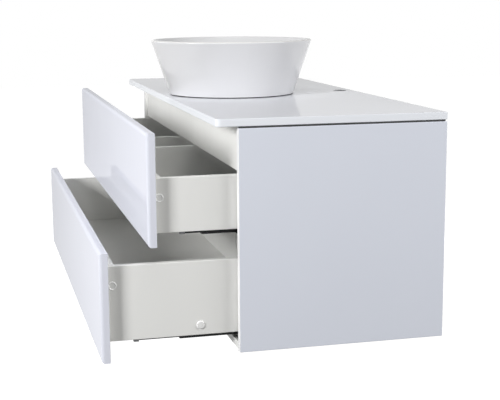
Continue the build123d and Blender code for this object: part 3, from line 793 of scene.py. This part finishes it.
# %% Give both caps a duller face
for cap in (dished_cap, flat_button):
    cap.data.materials.append(rim_plastic_painted_highlight)
    cap.data.materials.append(face_plastic)
    clear_selection()
    bpy.context.view_layer.objects.active = cap
    cap.select_set(True)
    bpy.ops.object.mode_set(mode="EDIT")
    pick_faces(top_disc)
    cap.active_material_index = 1
    bpy.ops.object.material_slot_assign()
    print(cap.name, "has", len(cap.data.materials), "finishes,", end_editing(), "faces")

# %% Set the caps in both drawers
button_behind_cap = 0.1795
for drawer in ("upper", "lower"):
    low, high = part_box(f"{drawer}_cover_caps")
    face_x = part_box(f"{drawer}_box_side_right")[1].x
    cap_z, button_z = high.z - cap_radius, low.z + cap_radius
    ends = (low.y + cap_radius, high.y - cap_radius)
    places = []
    for side in (-1, 1):
        outwards = Matrix.Rotation(side * math.pi / 2, 4, "Y")
        places += [(dished_cap, Matrix.Translation((side * face_x, y, cap_z)) @ outwards) for y in ends]
        button_y = ends[0] + button_behind_cap
        places.append((flat_button, Matrix.Translation((side * face_x, button_y, button_z)) @ outwards))
    caps = place_copies(f"{drawer}_cap_set", places)
    fit_out(caps, f"{drawer}_drawer", f"{drawer}_cover_caps")
drop_source(dished_cap, flat_button)
print("cover caps set")

# %% [markdown]
# ## Pan-head screws
# Four screws inside each drawer hold its front. Seen from behind, their heads are low domes with a cross
# recess. A cylinder is the head: its rim is bevelled into the dome, its underside is inset and pulled out
# into the shank, and two tapered bars cut the cross.

# %% Model one screw
screw_sides = 32
head_radius, head_height = 0.00375, 0.002
shank_radius, shank_length, point_length = 0.00175, 0.028, 0.003
dome_round, point_taper = 0.45 * head_height, 0.25
screw = start_round(head_radius, -head_height, 0, screw_sides)
screw.data.materials.append(zinc)
pick_faces(facing_down)
bpy.ops.mesh.inset(thickness=head_radius - shank_radius)
push_faces((0, 0, point_length - shank_length))
push_faces((0, 0, -point_length), point_taper)
pick_faces(facing_up)
bpy.ops.mesh.bevel(offset=dome_round, segments=4, affect="EDGES")
print("screw", end_editing(), "faces")

# %% Cut its cross recess
recess_length, recess_width, recess_depth = 0.0042, 0.0009, 0.0013
recess_taper = 0.55
for quarter in (0, math.pi / 2):
    clear_selection()
    bpy.ops.mesh.primitive_cube_add(size=1, rotation=(0, 0, quarter))
    bar = bpy.context.object
    bar.scale = (recess_length, recess_width, 2 * recess_depth)
    bpy.ops.object.transform_apply(location=True, rotation=True, scale=True)
    bpy.ops.object.mode_set(mode="EDIT")
    pick_faces(facing_down)
    bpy.ops.transform.resize(value=(recess_taper, recess_taper, 1.0), center_override=(0, 0, 0))
    bpy.ops.object.mode_set(mode="OBJECT")
    cut_with(screw, bar)
print("screw with recess", len(screw.data.polygons), "faces")

# %% Set the screws in both drawers
screw_count, screw_spacing = 4, 0.3
heads_to_back = Matrix.Rotation(-math.pi / 2, 4, "X")
for drawer in ("upper", "lower"):
    low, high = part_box(f"{drawer}_front_screws")
    middle = (low + high) / 2
    places = []
    for number in range(screw_count):
        x = middle.x + (number - (screw_count - 1) / 2) * screw_spacing
        places.append((screw, Matrix.Translation((x, high.y, middle.z)) @ heads_to_back))
    screws = place_copies(f"{drawer}_screw_set", places)
    fit_out(screws, f"{drawer}_drawer", f"{drawer}_front_screws")
drop_source(screw)
print("front screws set")

# %% [markdown]
# ## Union nuts
# Three plastic nuts clamp the pipes of the trap. They are tightened by hand, so their outside is ribbed
# for grip. Every third side of a many-sided cylinder is pushed out to make a rib, and the bore is stepped:
# wide for the thread, narrow for the lip that holds the seal.

# %% Model one nut
grip_sides, rib_step = 72, 3
nut_core, nut_outer, nut_height = 0.0248, 0.026, 0.018
thread_bore, thread_depth, lip_bore = 0.0212, 0.014, 0.0163


def grip_rib(centre, normal):
    """True for one in three of the upright sides of a nut or a cup."""
    side = round(math.atan2(centre.y, centre.x) / (2 * math.pi) * grip_sides - 0.5)
    return facing_out(centre, normal) and side % rib_step == 0


nut = start_round(nut_core, 0, nut_height, grip_sides)
nut.data.materials.append(trap_plastic)
pick_faces(grip_rib)
push_faces((0, 0, 0), nut_outer / nut_core)
pick_faces(bottom_disc)
bpy.ops.mesh.inset(thickness=nut_core - thread_bore)
push_faces((0, 0, thread_depth))
bpy.ops.mesh.inset(thickness=thread_bore - lip_bore)
pick_faces(top_disc)
bpy.ops.mesh.inset(thickness=nut_core - lip_bore)
pick_faces(lambda centre, normal: top_disc(centre, normal) or bottom_disc(centre, normal))
bpy.ops.mesh.bridge_edge_loops()
print("nut", end_editing(), "faces")

# %% Set the three nuts
neck_below_tail = 0.051
low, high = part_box("trap_nuts")
axis_y = low.y + nut_outer
turned_over = Matrix.Rotation(math.pi, 4, "X")
lip_to_wall = Matrix.Rotation(-math.pi / 2, 4, "X")
nut_places = [
    (nut, Matrix.Translation((0, axis_y, high.z)) @ turned_over),
    (nut, Matrix.Translation((0, axis_y, high.z - neck_below_tail - nut_height))),
    (nut, Matrix.Translation((0, high.y - nut_height, low.z + nut_outer)) @ lip_to_wall),
]
nuts = place_copies("union_nut_set", nut_places)
fit_out(nuts, "cabinet", "trap_nuts")
drop_source(nut)
print("union nuts set")

# %% [markdown]
# ## Trap cup
# The cup under the trap is unscrewed by hand to clean it, so it has a ribbed collar like the nuts. A
# cylinder is cut round below the collar, the collar's sides are pushed out into ribs, the bottom edge is
# rounded and the top is hollowed out for the water.

# %% Model and set the cup
cup_low, cup_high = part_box("trap_cup")
cup_outer = (cup_high.x - cup_low.x) / 2
cup_height = cup_high.z - cup_low.z
cup_rib, cup_wall, cup_round, cup_floor = 0.001, 0.0015, 0.014, 0.003
collar_height, floor_taper = 0.016, 0.6
collar_low = cup_height - collar_height
cup = start_round(cup_outer - cup_rib, 0, cup_height, grip_sides)
cup.data.materials.append(trap_plastic)
pick_faces(facing_down)
bpy.ops.mesh.bevel(offset=cup_round, segments=8, affect="EDGES")
bpy.ops.mesh.select_all(action="SELECT")
bpy.ops.mesh.bisect(plane_co=(0, 0, collar_low), plane_no=(0, 0, 1))
pick_faces(lambda centre, normal: grip_rib(centre, normal) and centre.z > collar_low)
push_faces((0, 0, 0), cup_outer / (cup_outer - cup_rib))
pick_faces(top_disc)
bpy.ops.mesh.inset(thickness=cup_wall)
push_faces((0, 0, cup_round - cup_height))
push_faces((0, 0, cup_floor - cup_round), floor_taper)
print("cup", end_editing(), "faces")
cup_set = place_copies("trap_cup_ribbed", [(cup, Matrix.Translation((0, axis_y, cup_low.z)))])
fit_out(cup_set, "cabinet", "trap_cup")
drop_source(cup)
print("trap cup set")
